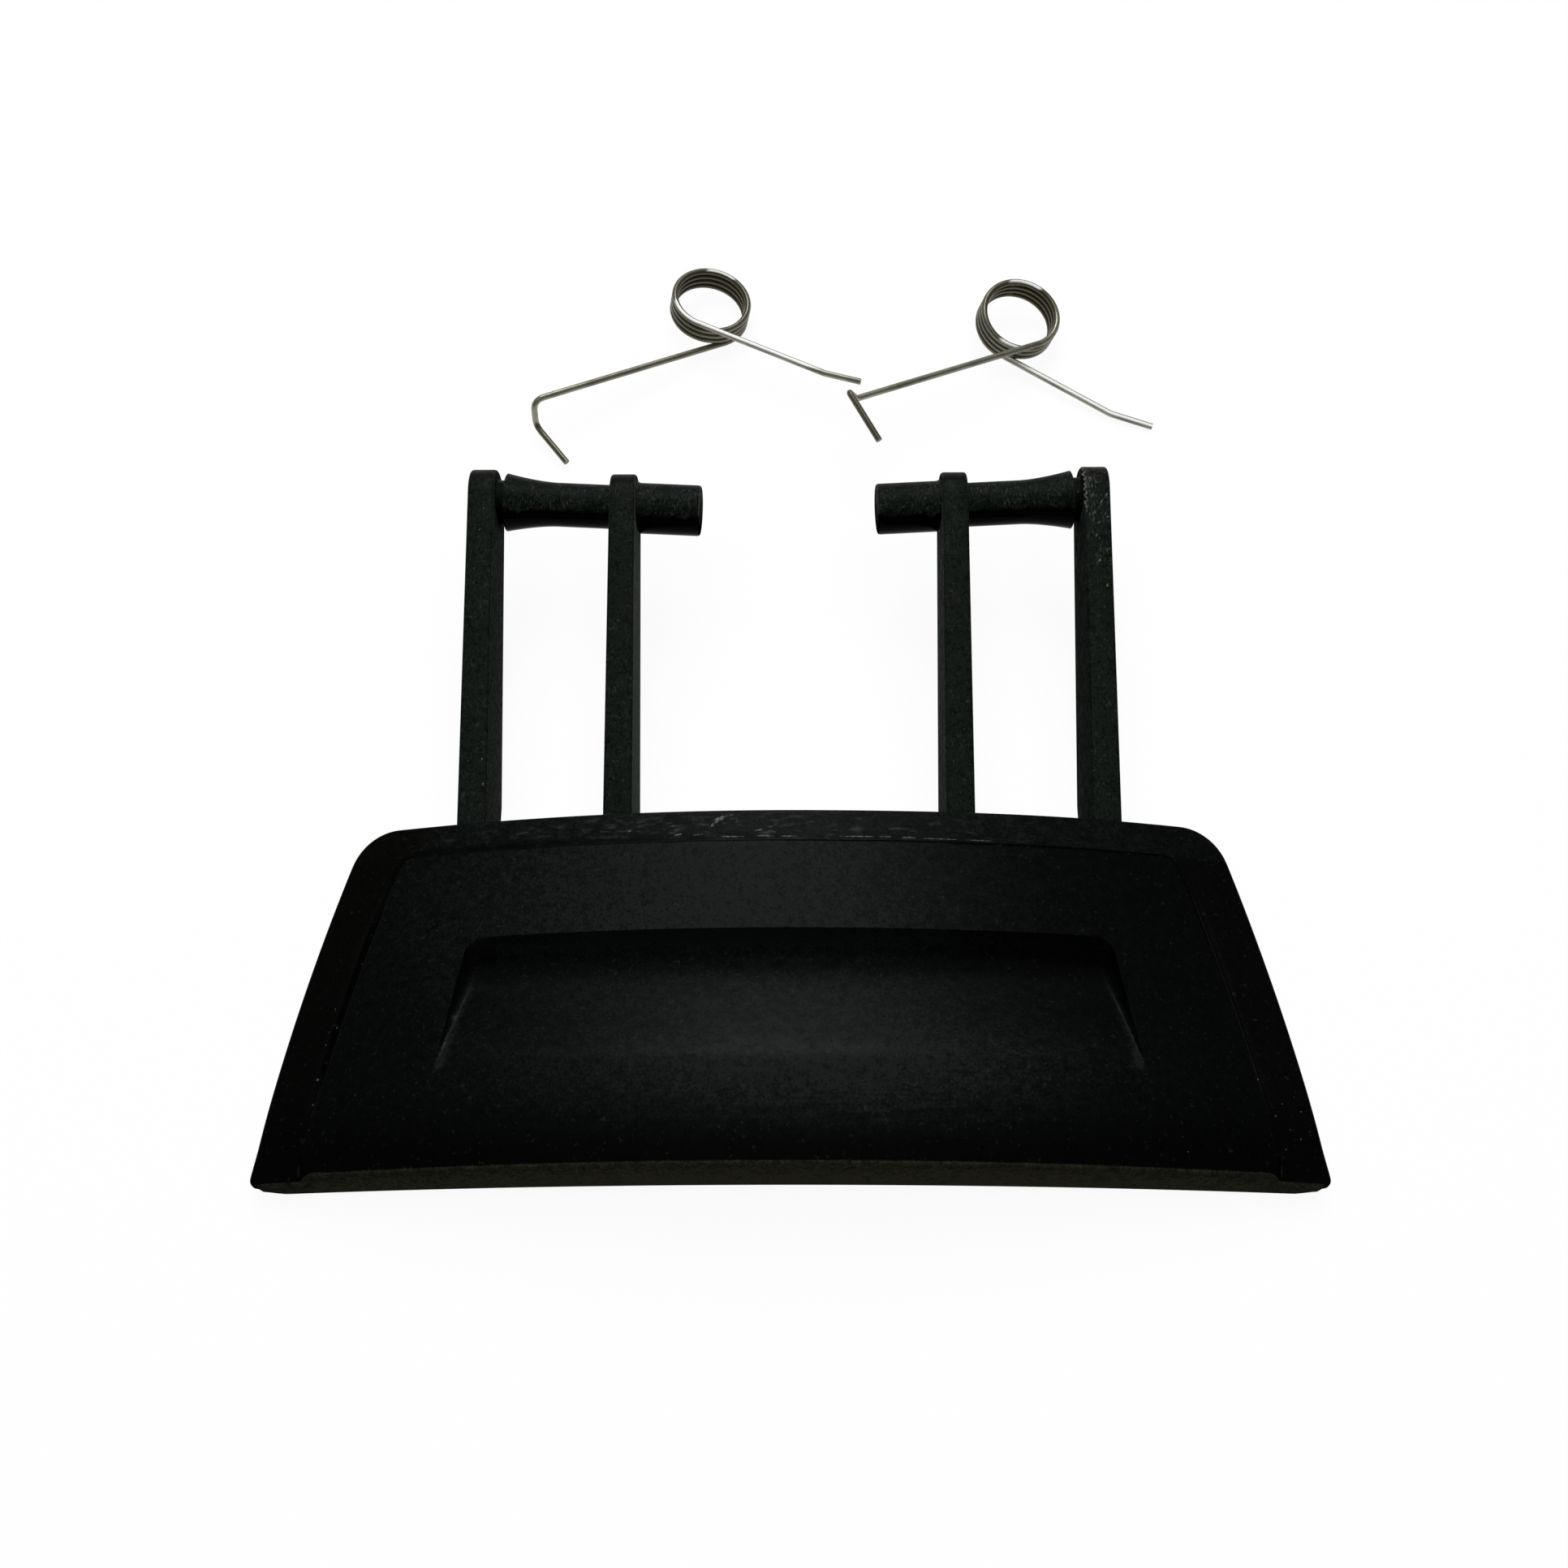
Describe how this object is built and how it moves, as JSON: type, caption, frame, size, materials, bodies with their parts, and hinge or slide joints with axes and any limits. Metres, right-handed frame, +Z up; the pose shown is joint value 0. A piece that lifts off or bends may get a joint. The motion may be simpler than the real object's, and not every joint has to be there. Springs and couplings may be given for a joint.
{
  "type": "console tray handle",
  "caption": "Arched moulded pull handle for a console tray, with a finger scoop, hinge arms with stepped barrels, and its loose torsion return springs.",
  "frame": {"origin": "middle of the floor area that the handle and its loose springs cover, on the surface they lie on", "axes": "+Y from the front lip towards the hinge barrels, +Z up out of the raised pad, +X to the right seen from the front lip"},
  "size_m": [0.1352, 0.1492, 0.0209],
  "materials": {
    "black_plastic": "fine matte grain, lightly scuffed",
    "spring_steel": "drawn wire, dull with bright streaks"
  },
  "bodies": {
    "root": {"handle": "black_plastic", "left_spring": "spring_steel", "right_spring": "spring_steel"}
  },
  "joints": []
}
